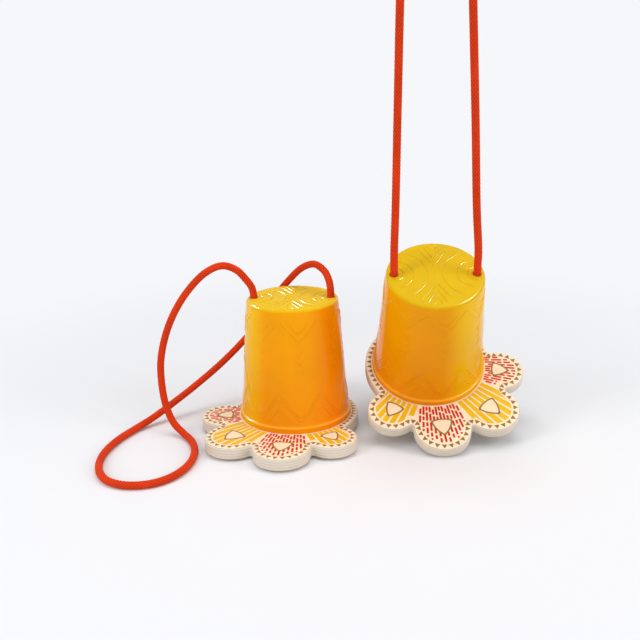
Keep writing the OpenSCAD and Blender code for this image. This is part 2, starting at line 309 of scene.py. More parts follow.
def finish_of(name, **constants):
    """A new material with its shader and the numbers that are the same all over."""
    made = bpy.data.materials.new(name)
    made.use_nodes = True
    shader = made.node_tree.nodes["Principled BSDF"]
    for key, value in constants.items():
        shader.inputs[key.replace("_", " ")].default_value = value
    return made, made.node_tree, shader


def feed(tree, shader, **sockets):
    for key, socket in sockets.items():
        tree.links.new(socket, shader.inputs[key.replace("_", " ")])


def group(name, inputs, outputs):
    """An empty node group with named inputs and outputs."""
    tree = bpy.data.node_groups.new(name, "ShaderNodeTree")
    for label, kind, value in inputs:
        socket = tree.interface.new_socket(label, in_out="INPUT", socket_type="NodeSocket" + kind)
        if value is not None:
            socket.default_value = value
    for label, kind in outputs:
        tree.interface.new_socket(label, in_out="OUTPUT", socket_type="NodeSocket" + kind)
    return tree, tree.nodes.new("NodeGroupInput").outputs, tree.nodes.new("NodeGroupOutput").inputs


# Blotches and scuffs that handling leaves on every finish of the stilts
handling, given, result = group(
    "handling",
    [("Vector", "Vector", None), ("Size", "Float", 60.0)],
    [("Blotch", "Float"), ("Scuff", "Float")])
blotch = noise(handling, given["Vector"], given["Size"], 4.0, Roughness=0.55)
scuff_size = maths(handling, "MULTIPLY", given["Size"], 5.0)
scuff = noise(handling, given["Vector"], scuff_size, 2.0, Distortion=1.6)
handling.links.new(blotch, result["Blotch"])
handling.links.new(spread(handling, scuff, 0.62, 0.72), result["Scuff"])


def handled(tree, where, size):
    made = add(tree, "Group", {"Vector": where, "Size": size}, node_tree=handling)
    return made.outputs["Blotch"], made.outputs["Scuff"]


# Red braid: red dye with painted shade darker between the carriers, and fine fibres on their backs
braid, tree, shader = finish_of(
    "red_braid", Specular_IOR_Level=0.15, Sheen_Weight=0.12, Sheen_Roughness=0.45,
    Sheen_Tint=(1.0, 0.62, 0.45, 1))
dip_here = kept(tree, "dip")
where = add(tree, "TexCoord").outputs["Object"]
blotches = handled(tree, where, 45.0)[0]
fibres = noise(tree, where, 2600.0, 3.0)
# Painted shade: the red darkens towards the deepest dips between the carriers
dye_and_painted_crease_shade = ramp(tree, dip_here, (0.0, (0.79, 0.058, 0.007)), (0.55, (0.68, 0.038, 0.005)),
            (1.0, (0.32, 0.012, 0.002)))
patchy = brighter(tree, dye_and_painted_crease_shade, spread(tree, blotches, 0.3, 0.7, 0.9, 1.12))
hairy = mixed(tree, spread(tree, fibres, 0.55, 0.8, 0.0, 0.5), patchy, (0.88, 0.13, 0.02))
rough = spread(tree, dip_here, 0.0, 1.0, 0.72, 0.95)
feed(tree, shader, Base_Color=hairy, Roughness=rough, Normal=bump(tree, fibres, 0.5, 0.0004))

cords = {}
for side, route in routes.items():
    line = laid_line(route, DIAMOND / SUBSTEPS, lowest=CORD_D / 2)
    mesh = bmesh.new()
    braided(mesh, line, lambda row: CORD_D / 2 + DIP / 3)
    piece = finished(mesh, side + "_cord_braid", [braid], "left_stilt" if side == "left" else None,
                     sharp=BRAID_SHARP)
    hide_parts(side + "_cord")
    cords[side] = (piece, line)
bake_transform(cords["right"][0])


# The stopper knots
# Each end of a cord is tied in an overhand knot under the deck and cut off a little
# below it, with the cut melted so that it can't fray.
KNOT_IN, KNOT_DROP = 0.002, 0.0057
TIGHT_R, TAIL_R, TAIL_ROWS = 0.0031, 0.0034, 16
MELTED_ROWS, MELTED_BY = 3, 0.0007
# In millimetres from the knot's middle, x outward from the cup's axis
knot_route = [
    (0.9, 0.0, 6.2), (0.8, 0.0, 2.5), (0.2, 0.2, -0.5), (-0.9, -0.4, -3.3), (-3.4, -1.8, -4.0),
    (-3.9, 2.0, -3.0), (-1.2, 4.2, -1.9), (2.6, 3.4, -0.8), (4.3, 0.2, 0.3), (2.8, -3.2, 1.4),
    (-0.8, -4.2, 2.2), (-3.8, -1.9, 2.7), (-3.7, 1.9, 2.6), (-1.0, 2.6, 0.8), (0.9, 1.6, -2.0),
    (1.0, 0.6, -5.2), (0.5, 0.2, -9.0), (0.1, 0.0, -14.4),
]


def knot_thickness(rows):
    """How thick a knotted end is at each row: drawn tight, then loose, then melted."""
    def thick(row):
        drawn = TIGHT_R if row < rows - TAIL_ROWS else TAIL_R
        return drawn - MELTED_BY * max(0, row - (rows - MELTED_ROWS))
    return thick


for side, place in STILTS.items():
    for number, hole in ((1, -1), (2, 1)):
        top = Vector((hole * (HOLE_X - KNOT_IN), 0, UNDER_Z - KNOT_DROP))
        spots = [place @ (top + Vector((hole * x, y, z)) / 1000) for x, y, z in knot_route]
        line = laid_line(spots, DIAMOND / SUBSTEPS)
        mesh = bmesh.new()
        braided(mesh, line, knot_thickness(len(line)))
        piece = finished(mesh, f"{side}_knot_{number}_tied", [braid], side + "_stilt",
                         sharp=BRAID_SHARP)
        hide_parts(f"{side}_knot_{number}")
    piece, line = cords[side]
    length = reaches(line)[-1]


# The two cups
# Each is one hollow moulding in glossy yellow-orange plastic, with a thick deck on
# top, a lip round its mouth and four bosses inside for the screws from the paw.
MOUTH_Z = 0.014
CUP_TOP_R, CUP_FOOT_R = 0.045, 0.054
WALL, EDGE_R, UNDER_EDGE_R = 0.0026, 0.003, 0.002
LIP_H, LIP_OUT, LIP_EDGE_R = 0.006, 0.002, 0.0013
HOLE_R, HOLE_STEPS = 0.004, 40
BOSS_R, BOSS_TOP_R, BOSS_H, BOSS_LIFT, BOSS_STEPS = 0.0042, 0.0041, 0.02, 0.0001, 32
# Corners are level when their heights differ by less than this
LEVEL = 1e-6
SCREW_TURNS = (-45, 45, 135, 225)
SCREW_RING = 0.0495
SPLAY = {"left": -25, "right": 25}


def wall_r(height):
    """Outside radius of the straight wall at a height above the cup's mouth."""
    return CUP_FOOT_R + (CUP_TOP_R - CUP_FOOT_R) * height / (DECK_Z - MOUTH_Z)


def at_turn(turn, reach):
    """A place on the paw by its turn in degrees from straight ahead, and its reach."""
    return Vector((reach * math.sin(math.radians(turn)), -reach * math.cos(math.radians(turn)), 0))


def rounding(centre_r, centre_z, radius, start, stop, steps):
    """Corners along a rounded edge, as pairs of a radius and a height."""
    return [(centre_r + radius * math.cos(math.radians(start + (stop - start) * k / steps)),
             centre_z + radius * math.sin(math.radians(start + (stop - start) * k / steps)))
            for k in range(steps + 1)]


def turned(mesh, profile, steps=160):
    """A profile of radius and height pairs spun about the upright axis."""
    verts = [mesh.verts.new((r, 0, z)) for r, z in profile]
    edges = [mesh.edges.new(pair) for pair in zip(verts, verts[1:])]
    bmesh.ops.spin(mesh, geom=verts + edges, cent=(0, 0, 0), axis=(0, 0, 1),
                   angle=2 * math.pi, steps=steps, use_merge=True)


def rolled(mesh, rows, count, place):
    """A tube that closes round on itself: place(row, step) gives each corner its place."""
    corners = grid_corners(mesh, rows, count)
    for v, row, step in corners:
        v.co = place(row, step % count)
    bmesh.ops.remove_doubles(mesh, verts=[v for v, row, step in corners], dist=SAME_SPOT)


def bored(mesh, centre, rim, steps):
    """The wall of a round hole, from pairs of a radius and a height."""
    def place(row, step):
        r, z = rim[row]
        angle = 2 * math.pi * step / steps
        return Vector((centre.x + r * math.cos(angle), centre.y + r * math.sin(angle), z))
    rolled(mesh, len(rim), steps, place)


def cover(mesh, height, up):
    """Fills what is open at this height, round its holes, with one flat face."""
    rims = [e for e in mesh.edges if e.is_boundary and all(abs(v.co.z - height) < LEVEL for v in e.verts)]
    made = bmesh.ops.triangle_fill(mesh, use_beauty=True, use_dissolve=False, edges=rims,
                                   normal=(0, 0, up))
    for face in made["geom"]:
        if isinstance(face, bmesh.types.BMFace):
            face.smooth = False


def own_place(mesh, side):
    """Keeps each corner's place on its own upright stilt, then moves it to where it stands."""
    own = mesh.verts.layers.float_vector.new("own")
    for v in mesh.verts:
        v[own] = v.co
    mesh.transform(STILTS[side])


def eased(value, start, stop):
    t = min(max((value - start) / (stop - start), 0.0), 1.0)
    return t * t * (3 - 2 * t)


# Painted light and shade round each cup. The side that looks away from the other cup is painted
# yellower, as light. The side towards it is painted deeper orange, as shade, on the left cup, apart
# from its very edge, which is painted lighter, and a touch yellower, as light, on the right one.
# The painted light is 0 where deepest, 1 where yellowest. Spans are shares of the cup's reach.
PAINTED_LIGHT_SPAN = {"left": (0.45, 0.85), "right": (0.1, 0.6)}
PAINTED_SHADE_SPAN = {"left": (0.3, 0.8), "right": (0.3, 1.0)}
PAINTED_SHADE_DEPTH = {"left": 0.45, "right": -0.1}
PAINTED_EDGE_LIGHT = {"left": 0.8, "right": 0.0}
PAINTED_EDGE_SPAN = (0.8, 1.0)
NEAR_AXIS = 0.01


# Each corner keeps its painted side light and shade, 0 where deepest and 1 where yellowest
def paint_side_light(mesh, side):
    painted_side_light = mesh.verts.layers.float.new("painted_side_light")
    outward = -1 if side == "left" else 1
    for v in mesh.verts:
        reach = math.hypot(v.co.x, v.co.y)
        aside = outward * v.co.x / reach if reach > NEAR_AXIS else 0.0
        depth = PAINTED_SHADE_DEPTH[side] * (1 - PAINTED_EDGE_LIGHT[side] * eased(-aside, *PAINTED_EDGE_SPAN))
        v[painted_side_light] = 0.5 + 0.5 * eased(aside, *PAINTED_LIGHT_SPAN[side]) - depth * eased(-aside, *PAINTED_SHADE_SPAN[side])


# From the deck's edge down the outside to the lip, round it, and up inside to the deck
under_r = wall_r(UNDER_Z - MOUTH_Z) - WALL
cup_profile = (
    rounding(CUP_TOP_R - EDGE_R, DECK_Z - EDGE_R, EDGE_R, 90, 0, 7)
    + [(wall_r(h), MOUTH_Z + h) for h in (0.1, 0.08, 0.06, 0.04, 0.02, 0.0085)]
    + [(wall_r(0.0072) + 0.0002, MOUTH_Z + 0.0072), (wall_r(LIP_H) + 0.0006, MOUTH_Z + LIP_H + 0.0003)]
    + rounding(CUP_FOOT_R + LIP_OUT - LIP_EDGE_R, MOUTH_Z + LIP_H - LIP_EDGE_R, LIP_EDGE_R, 90, 0, 6)
    + [(CUP_FOOT_R + LIP_OUT, MOUTH_Z + 0.0004), (CUP_FOOT_R + LIP_OUT - 0.0004, MOUTH_Z)]
    + [(CUP_FOOT_R - WALL, MOUTH_Z)]
    + [(wall_r(h) - WALL, MOUTH_Z + h) for h in (0.03, 0.06, 0.09)]
    + rounding(under_r - UNDER_EDGE_R, UNDER_Z - UNDER_EDGE_R, UNDER_EDGE_R, 0, 90, 4)
)
hole_rim = [(HOLE_R + 0.0004, DECK_Z), (HOLE_R + 0.0001, DECK_Z - 0.0001), (HOLE_R, DECK_Z - 0.0004),
            (HOLE_R, UNDER_Z + 0.0003), (HOLE_R + 0.0003, UNDER_Z)]

# Yellow-orange plastic: clear enough to glow, finely textured by its mould
plastic, tree, shader = finish_of(
    "moulded_plastic", IOR=1.5, Specular_IOR_Level=0.16, Specular_Tint=(1.0, 0.88, 0.55, 1),
    Subsurface_Weight=0.08, Subsurface_Scale=0.003, Subsurface_Radius=(1.0, 0.45, 0.08))
own = kept(tree, "own", "Vector")
up = add(tree, "SeparateXYZ", {"Vector": own}).outputs["Z"]
deckness = spread(tree, up, DECK_Z - 0.0035, DECK_Z - 0.0004, interpolation_type="SMOOTHSTEP")
high_up = spread(tree, up, MOUTH_Z, DECK_Z - 0.01)
# The sides' colour carries the painted side light and shade, from deep orange to yellow
painted_side_colour = ramp(tree, kept(tree, "painted_side_light"), (0.0, (0.86, 0.235, 0.001)), (0.5, (0.83, 0.31, 0.001)),
              (1.0, (0.84, 0.46, 0.001)))
# Painted shade makes the lower wall darker and more orange, and painted light the upper wall a touch yellower
painted_height_light = mixed(tree, high_up, (0.94, 0.80, 1.0), (1.0, 1.05, 1.0))
side_colour = mixed(tree, 1.0, painted_side_colour, painted_height_light, blend_type="MULTIPLY")
# The deck is painted yellower than the sides, as painted light on the top
body_colour = mixed(tree, deckness, side_colour, (0.67, 0.42, 0.001))
# A painted highlight along the thin upper edge of the lip
lip_place = spread(tree, up, MOUTH_Z + LIP_H - 0.0014, MOUTH_Z + LIP_H + 0.0007)
DARK, LIT = (0.0, 0.0, 0.0), (0.4, 0.4, 0.4)
lip_painted_highlight = ramp(tree, lip_place, (0.0, DARK), (0.35, LIT), (0.7, LIT), (1.0, DARK))
lip_with_painted_highlight = mixed(tree, lip_painted_highlight, body_colour, (1.0, 0.47, 0.05))
blotches, scuffs = handled(tree, own, 22.0)
clouded = brighter(tree, lip_with_painted_highlight, spread(tree, blotches, 0.3, 0.7, 0.96, 1.04))
gloss = spread(tree, scuffs, 0.0, 1.0, 0.13, 0.24)
# The flat of the deck is nearly matt, and its rounded edge and its ribs are glossy
above_edge = spread(tree, up, DECK_Z - 0.0003, DECK_Z - 0.0001)
off_ribs = spread(tree, up, DECK_Z + 0.00005, DECK_Z + 0.0002, 1.0, 0.0)
on_flat = maths(tree, "MULTIPLY", above_edge, off_ribs)
satin = add(tree, "Mix", {"Factor": on_flat, "A": gloss, "B": 0.62}).outputs["Result"]
orange_peel = noise(tree, own, 380.0, 2.0)
feed(tree, shader, Base_Color=clouded, Roughness=satin, Normal=bump(tree, orange_peel, 0.10, 0.0003))

for side in STILTS:
    mesh = bmesh.new()
    turned(mesh, cup_profile)
    smoothed(mesh)
    for hole in (-1, 1):
        bored(mesh, Vector((hole * HOLE_X, 0, 0)), hole_rim, HOLE_STEPS)
    cover(mesh, DECK_Z, 1)
    cover(mesh, UNDER_Z, -1)
    bmesh.ops.recalc_face_normals(mesh, faces=mesh.faces)
    # Bosses stand against the inside of the wall
    for turn in SCREW_TURNS:
        middle = at_turn(turn + SPLAY[side], SCREW_RING) + Vector((0, 0, MOUTH_Z + BOSS_LIFT + BOSS_H / 2))
        boss = bmesh.ops.create_cone(
            mesh, cap_ends=True, segments=BOSS_STEPS, radius1=BOSS_R, radius2=BOSS_TOP_R, depth=BOSS_H,
            matrix=Matrix.Translation(middle))
        for v in boss["verts"]:
            most = wall_r(v.co.z - MOUTH_Z) - WALL / 2
            reach = math.hypot(v.co.x, v.co.y)
            if reach > most:
                v.co.x *= most / reach
                v.co.y *= most / reach
    paint_side_light(mesh, side)
    own_place(mesh, side)
    piece = finished(mesh, side + "_cup_moulding", [plastic], side + "_stilt")
    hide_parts(side + "_cup")


# The raised lines on the cups
# Fine ribs moulded with the cup: rings round the cord holes and chevrons on the deck,
# and zigzags, chevrons, waves and arcs round the wall.
RIB_W, WALL_RIB_H, DECK_RIB_H = 0.0012, 0.00046, 0.00055
# Half a rib's width and its height are 1 here: a round back whose feet slope into the plastic
RIB_SHARES = ((0.55, 0.68), (0.0, 1.0), (-0.55, 0.68), (-1.15, -0.2), (0.0, -1.0), (1.15, -0.2))
RIB_END_SHARES = (0.15, 0.6, 1.0)
RIB_SHARP = 75
RING_RADII = (0.009, 0.018, 0.031)
# Each ring stops this far short of the deck's rounded edge, or this far round
RING_CLEAR, RING_MOST = 0.003, 150
# The strokes of the deck's chevrons: where each starts on the middle line, and its foot
STROKES = ((0.012, 0.013, 0.034), (0.021, 0.0085, 0.038), (0.030, 0.0035, 0.040))
STROKE_GAP, STROKE_STEPS = 0.0006, 12
DOT_R, DOT_SHARE = 0.0012, 0.35
# The wall's pattern comes eight times, in degrees round the cup and millimetres of height
REPEATS, FIRST_TURN, WALL_STEPS = 8, 10, 10
ZIGZAG = ((-22.5, 111), (0, 89), (22.5, 111))
INNER_POINT = ((-11, 108), (0, 97), (11, 108))
CHEVRON, CHEVRON_DROPS = ((-4, 81), (0, 76), (4, 81)), (0, 9, 18)
WAVE, WAVE_LIFTS = ((-22.5, 34), (0, 12), (22.5, 34)), (0, 4)
ARC = ((9.5, 12), (22.5, 24), (35.5, 12))


def on_wall(turn, height):
    """A point on the outside of the wall, and the way out from it."""
    way = at_turn(turn, 1)
    slope = (CUP_FOOT_R - CUP_TOP_R) / (DECK_Z - MOUTH_Z)
    return way * wall_r(height) + Vector((0, 0, MOUTH_Z + height)), (way + Vector((0, 0, slope))).normalized()


def on_deck(x, y):
    return Vector((x, y, DECK_Z)), Vector((0, 0, 1))


def ring_spot(hole, radius, turn):
    """A place on a ring round a cord hole, by its turn in degrees from the deck's middle."""
    return hole * (HOLE_X - radius * math.cos(math.radians(turn))), radius * math.sin(math.radians(turn))


def rib(mesh, spots, tall=DECK_RIB_H):
    """A rib that follows the spots, half sunk in the plastic, thin at both ends."""
    points = [p for p, out in spots]

    def place(row, step):
        p, out = spots[row]
        way = (points[min(row + 1, len(points) - 1)] - points[max(row - 1, 0)]).normalized()
        aside, up = RIB_SHARES[step]
        size = RIB_END_SHARES[min(row, len(points) - 1 - row, len(RIB_END_SHARES) - 1)]
        return p + size * (RIB_W / 2 * aside * way.cross(out) + tall * up * out)

    rolled(mesh, len(points), len(RIB_SHARES), place)


def wall_line(mesh, corners, turn, lift=0, smooth=False):
    """A rib along the wall through these corners, straight or eased between them."""
    spots = []
    for (t0, h0), (t1, h1) in zip(corners, corners[1:]):
        for k in range(WALL_STEPS):
            s = k / WALL_STEPS
            e = eased(s, 0, 1) if smooth else s
            spots.append(on_wall(turn + t0 + (t1 - t0) * s, (h0 + lift + (h1 - h0) * e) / 1000))
    t, h = corners[-1]
    spots.append(on_wall(turn + t, (h + lift) / 1000))
    rib(mesh, spots, WALL_RIB_H)


for side in STILTS:
    mesh = bmesh.new()
    for hole in (-1, 1):
        for radius in RING_RADII:
            half = 0
            while (math.hypot(*ring_spot(1, radius, half)) < CUP_TOP_R - EDGE_R - RING_CLEAR
                   and half < RING_MOST):
                half += 2
            steps = max(8, half // 4)
            rib(mesh, [on_deck(*ring_spot(hole, radius, half * (2 * k / steps - 1)))
                       for k in range(steps + 1)])
    for end in (-1, 1):
        for tip, foot_x, foot_y in STROKES:
            for half in (-1, 1):
                rib(mesh, [on_deck(half * (STROKE_GAP + (foot_x - STROKE_GAP) * k / STROKE_STEPS),
                                   end * (tip + (foot_y - tip) * k / STROKE_STEPS))
                           for k in range(STROKE_STEPS + 1)])
    # A small raised dot is left where the plastic ran into the mould
    flattened = Matrix.Translation((0, 0, DECK_Z)) @ Matrix.Diagonal((1, 1, DOT_SHARE, 1))
    bmesh.ops.create_uvsphere(mesh, u_segments=20, v_segments=10, radius=DOT_R, matrix=flattened)
    for part in range(REPEATS):
        turn = 360 / REPEATS * part + FIRST_TURN
        wall_line(mesh, ZIGZAG, turn)
        wall_line(mesh, INNER_POINT, turn)
        for drop in CHEVRON_DROPS:
            wall_line(mesh, CHEVRON, turn, -drop)
        for lift in WAVE_LIFTS:
            wall_line(mesh, WAVE, turn, lift, smooth=True)
        wall_line(mesh, ARC, turn, smooth=True)
    bmesh.ops.holes_fill(mesh, edges=mesh.edges, sides=0)
    bmesh.ops.recalc_face_normals(mesh, faces=mesh.faces)
    smoothed(mesh)
    paint_side_light(mesh, side)
    own_place(mesh, side)
    finished(mesh, side + "_cup_ribs", [plastic], side + "_stilt", sharp=RIB_SHARP)


# The wooden paws
# Each foot is sawn from 12 mm birch plywood, a round heel with four toes, with a
# round hole under the cup, and its edges sanded soft.
SOLE_Z = 0.002
HEEL_R, NOTCH_R, MIDDLE_R, MIDDLE_STEPS = 0.063, 0.0025, 0.044, 120
# The turn, the reach, the radius and the pad's radius of each toe
TOES = [(-57, 0.071, 0.024, 0.015), (-19, 0.081, 0.027, 0.017),
        (19, 0.081, 0.027, 0.017), (57, 0.071, 0.024, 0.015)]
ROUND_STEP, NOTCH_STEP = 3, 12
SINK_R, SHANK_R, SINK_H, SCREW_STEPS = 0.0034, 0.0019, 0.0018, 24
PLIES = 9
EDGE_BAND = 0.0004


def kiss(a, ra, b, rb, r):
    """Centre of a circle of radius r that touches two others from outside."""
    d = (b - a).length
    u = (b - a) / d
    along = ((ra + r) ** 2 - (rb + r) ** 2 + d * d) / (2 * d)
    return a + u * along + Vector((-u.y, u.x, 0)) * math.sqrt((ra + r) ** 2 - along ** 2)


rounds = [(Vector((0, 0, 0)), HEEL_R)] + [(at_turn(turn, reach), r) for turn, reach, r, pad in TOES]
notches = [kiss(*after, *before, NOTCH_R) for before, after in zip(rounds, rounds[1:] + rounds[:1])]


def heading(v):
    return math.atan2(v.y, v.x)


def arc_ways(start, stop, step):
    """The ways out along an arc between two headings, without the last one."""
    n = math.ceil(math.degrees(abs(stop - start)) / step)
    headings = [start + (stop - start) * k / n for k in range(n)]
    return [Vector((math.cos(a), math.sin(a), 0)) for a in headings]


def paw_line(inset, turn):
    """The paw's outline, moved in by the inset, as corners and their ways out."""
    corners = []
    for i, (centre, r) in enumerate(rounds):
        a = heading(notches[i - 1] - centre)
        b = heading(notches[i] - centre)
        b += 2 * math.pi if b < a else 0
        corners += [(centre + (r - inset) * way, way) for way in arc_ways(a, b, ROUND_STEP)]
        a = heading(centre - notches[i])
        b = heading(rounds[(i + 1) % len(rounds)][0] - notches[i])
        b -= 2 * math.pi if b > a else 0
        corners += [(notches[i] + (NOTCH_R + inset) * way, -way) for way in arc_ways(a, b, NOTCH_STEP)]
    spin = Matrix.Rotation(math.radians(turn), 3, "Z")
    return [(spin @ p, spin @ way) for p, way in corners]


# Plywood: a pale face with fine long grain, and nine plies that show on the edge
grain, given, result = group(
    "wood_grain", [("Vector", "Vector", None)], [("Streak", "Float"), ("Pore", "Float")])
long_streaks = add(grain, "Mapping", {"Vector": given["Vector"], "Scale": (28.0, 420.0, 420.0)})
long_pores = add(grain, "Mapping", {"Vector": given["Vector"], "Scale": (160.0, 2600.0, 2600.0)})
streak = noise(grain, long_streaks.outputs["Vector"], 1.0, 5.0, Distortion=0.6)
pore = noise(grain, long_pores.outputs["Vector"], 1.0, 2.0)
grain.links.new(streak, result["Streak"])
grain.links.new(pore, result["Pore"])

ply, tree, shader = finish_of("birch_plywood", Specular_IOR_Level=0.22)
own = kept(tree, "own", "Vector")
edgeness = kept(tree, "edge")
figure = add(tree, "Group", {"Vector": own}, node_tree=grain).outputs
face_wood = ramp(tree, figure["Streak"], (0.3, (0.86, 0.66, 0.44)), (0.5, (0.92, 0.76, 0.55)),
                 (0.7, (0.94, 0.80, 0.60)))
wobble = spread(tree, noise(tree, own, 90.0, 2.0), 0.0, 1.0, -0.00018, 0.00018)
height = maths(tree, "ADD", add(tree, "SeparateXYZ", {"Vector": own}).outputs["Z"], wobble)
plies = maths(tree, "DIVIDE", height, (MOUTH_Z - SOLE_Z) / PLIES)
within = maths(tree, "PINGPONG", plies, 1.0)
edge_wood = ramp(tree, within, (0.0, (0.42, 0.33, 0.23)), (0.13, (0.70, 0.60, 0.48)),
                 (0.4, (0.78, 0.70, 0.59)), (1.0, (0.73, 0.64, 0.53)))
specks = spread(tree, noise(tree, own, 900.0, 3.0), 0.58, 0.75, 0.0, 0.45)
speckled = mixed(tree, specks, edge_wood, (0.56, 0.48, 0.38))
wood = mixed(tree, edgeness, face_wood, speckled)
blotches = handled(tree, own, 30.0)[0]
aged = brighter(tree, wood, spread(tree, blotches, 0.3, 0.7, 0.97, 1.03))
sanded = spread(tree, figure["Pore"], 0.0, 1.0, 0.5, 0.68)
ridges = bump(tree, figure["Pore"], 0.25, 0.0002)
ply_steps = bump(tree, within, edgeness, 0.0002, Normal=ridges)
feed(tree, shader, Base_Color=aged, Roughness=sanded, Normal=ply_steps)

soft_edge = [(0.0016, 0.0), (0.0011, 0.0001), (0.0005, 0.0005), (0.0001, 0.0011), (0.0, 0.0018)]
ply_rows = [(inset, SOLE_Z + z) for inset, z in soft_edge]
ply_rows += [(inset, MOUTH_Z - z) for inset, z in soft_edge[::-1]]
middle_rim = [(MIDDLE_R + inset, z) for inset, z in ply_rows]
sink_rim = [(SINK_R, SOLE_Z), (SHANK_R, SOLE_Z + SINK_H), (SHANK_R, MOUTH_Z)]
for side in STILTS:
    mesh = bmesh.new()
    edge = mesh.verts.layers.float.new("edge")
    lines = {inset: paw_line(inset, SPLAY[side]) for inset, z in soft_edge}

    def rim(row, step):
        inset, z = ply_rows[row]
        return lines[inset][step][0] + Vector((0, 0, z))

    rolled(mesh, len(ply_rows), len(lines[0.0]), rim)
    bored(mesh, Vector((0, 0, 0)), middle_rim, MIDDLE_STEPS)
    for v in mesh.verts:
        v[edge] = 1.0 if SOLE_Z + EDGE_BAND < v.co.z < MOUTH_Z - EDGE_BAND else 0.0
    # Countersunk holes for the screws, open at both faces
    for turn in SCREW_TURNS:
        bored(mesh, at_turn(turn + SPLAY[side], SCREW_RING), sink_rim, SCREW_STEPS)
    smoothed(mesh)
    cover(mesh, MOUTH_Z, 1)
    cover(mesh, SOLE_Z, -1)
    bmesh.ops.recalc_face_normals(mesh, faces=mesh.faces)
    own_place(mesh, side)
    piece = finished(mesh, side + "_paw_plywood", [ply], side + "_stilt")
    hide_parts(side + "_foot")


# The print on the paws
# Four screen-printed inks on the plywood's upper face: brown teeth round the border,
# toes in rows of red dashes or in yellow bands, and a pale mark on each toe.
INK = 0.00006
TEETH_TIP, TEETH_BASE = 0.0013, 0.0058
TOOTH_PITCH, TOOTH_W = 0.0062, 0.0052
# How far a toe's field stays inside its edge and off the notches beside it
FIELD, NOTCH_FIELD = 0.0076, 0.0065
# Its rows start on a ring round the cup and fan out from a place behind the ring's middle
FIELD_IN, FAN_BACK, FAN_TURN = 0.0571, 0.028, 18.4
ROW_STEP, ROW_LEAST = 0.0002, 0.001
DASH_ROWS, DASH_W, DASH_GAP, DASH_STAGGER = 13, 0.0021, 0.0015, 0.0035
DASH_SHORT, DASH_LONGER, DASH_LEAST, DASH_POINT = 0.0050, 0.0056, 0.002, 0.0005
# Bare wood on each side of a band, as a share of half the fan
BANDS, BAND_BARE, BAND_STEPS = 7, 0.038, 8
MARK_BACK, MARK_LINE = 0.001, 0.0022
MARK_SHARE, BULGE_SHARE, TIP_SHARE = 0.45, 0.62, 0.955
MARK_SIDE_SHARES = (0.05, 0.12, 0.25, 0.4, 0.6, 0.75, 0.88, 0.95)


def ink_of(name, colour, faded):
    """Flat printing ink that lets a little of the wood's grain show."""
    made, tree, shader = finish_of(name, Specular_IOR_Level=0.2)
    own = kept(tree, "own", "Vector")
    pores = add(tree, "Group", {"Vector": own}, node_tree=grain).outputs["Pore"]
    blotches, scuffs = handled(tree, own, 120.0)
    laid = mixed(tree, spread(tree, pores, 0.5, 0.8, 0.0, 0.35), colour, faded)
    uneven = brighter(tree, laid, spread(tree, blotches, 0.3, 0.7, 0.95, 1.05))
    feed(tree, shader, Base_Color=uneven, Roughness=spread(tree, scuffs, 0.0, 1.0, 0.42, 0.55))
    return made


inks = [
    ink_of("brown_ink", (0.27, 0.155, 0.040), (0.38, 0.24, 0.09)),
    ink_of("red_ink", (0.60, 0.026, 0.005), (0.70, 0.065, 0.020)),
    ink_of("yellow_ink", (0.80, 0.46, 0.004), (0.86, 0.56, 0.03)),
    ink_of("pale_ink", (0.88, 0.72, 0.50), (0.92, 0.78, 0.58)),
]
BROWN, RED, YELLOW, PALE = range(4)
TOE_INKS = {"left": (RED, YELLOW, RED, YELLOW), "right": (YELLOW, RED, YELLOW, RED)}


def slab(mesh, corners, low, high):
    """A flat piece with these corners, from one height to another. Gives its faces."""
    verts = [mesh.verts.new((p.x, p.y, low)) for p in corners]
    face = mesh.faces.new(verts)
    face.normal_update()
    if face.normal.z < 0:
        face.normal_flip()
    lifted = bmesh.ops.extrude_face_region(mesh, geom=[face])["geom"]
    for v in lifted:
        if isinstance(v, bmesh.types.BMVert):
            v.co.z = high
    return [f for v in verts for f in v.link_faces] + [f for f in lifted if isinstance(f, bmesh.types.BMFace)]


def printed(mesh, corners, ink, layer=1):
    """One closed patch of ink, laid on the wood or on another ink."""
    for face in slab(mesh, corners, MOUTH_Z - INK, MOUTH_Z + layer * INK):
        face.material_index = ink


def teeth(mesh, turn):
    """Brown teeth all round the border, with their points outward."""
    line = paw_line(TEETH_BASE, turn)
    spots = [p for p, way in line] + [line[0][0]]
    total = reaches(spots)[-1]
    number = round(total / TOOTH_PITCH)
    for k, middle in spots_at(spots, [total * (i + 0.5) / number for i in range(number)]):
        way = line[k][1].lerp(line[(k + 1) % len(line)][1], 0.5).normalized()
        along = Vector((-way.y, way.x, 0)) * TOOTH_W / 2
        printed(mesh, [middle - along, middle + along, middle + way * (TEETH_BASE - TEETH_TIP)], BROWN)


def toe_field(toe, turn):
    """A function that gives a row's start, way and length, by its place across the field."""
    number = TOES.index(toe) + 1
    facing = toe[0] + turn
    spin = Matrix.Rotation(math.radians(turn), 3, "Z")
    centre, r = spin @ rounds[number][0], rounds[number][1]
    gaps = [spin @ notches[number - 1], spin @ notches[number]]

    def inside(p):
        if (p - centre).length < r - FIELD:
            return True
        return p.length < centre.length and all((p - gap).length > NOTCH_R + NOTCH_FIELD for gap in gaps)

    def row(across):
        near = at_turn(facing + FAN_TURN * across, FIELD_IN)
        way = (near + at_turn(facing, FAN_BACK)).normalized()
        length = 0.0
        while inside(near + (length + ROW_STEP) * way):
            length += ROW_STEP
        return near, way, length
    return row


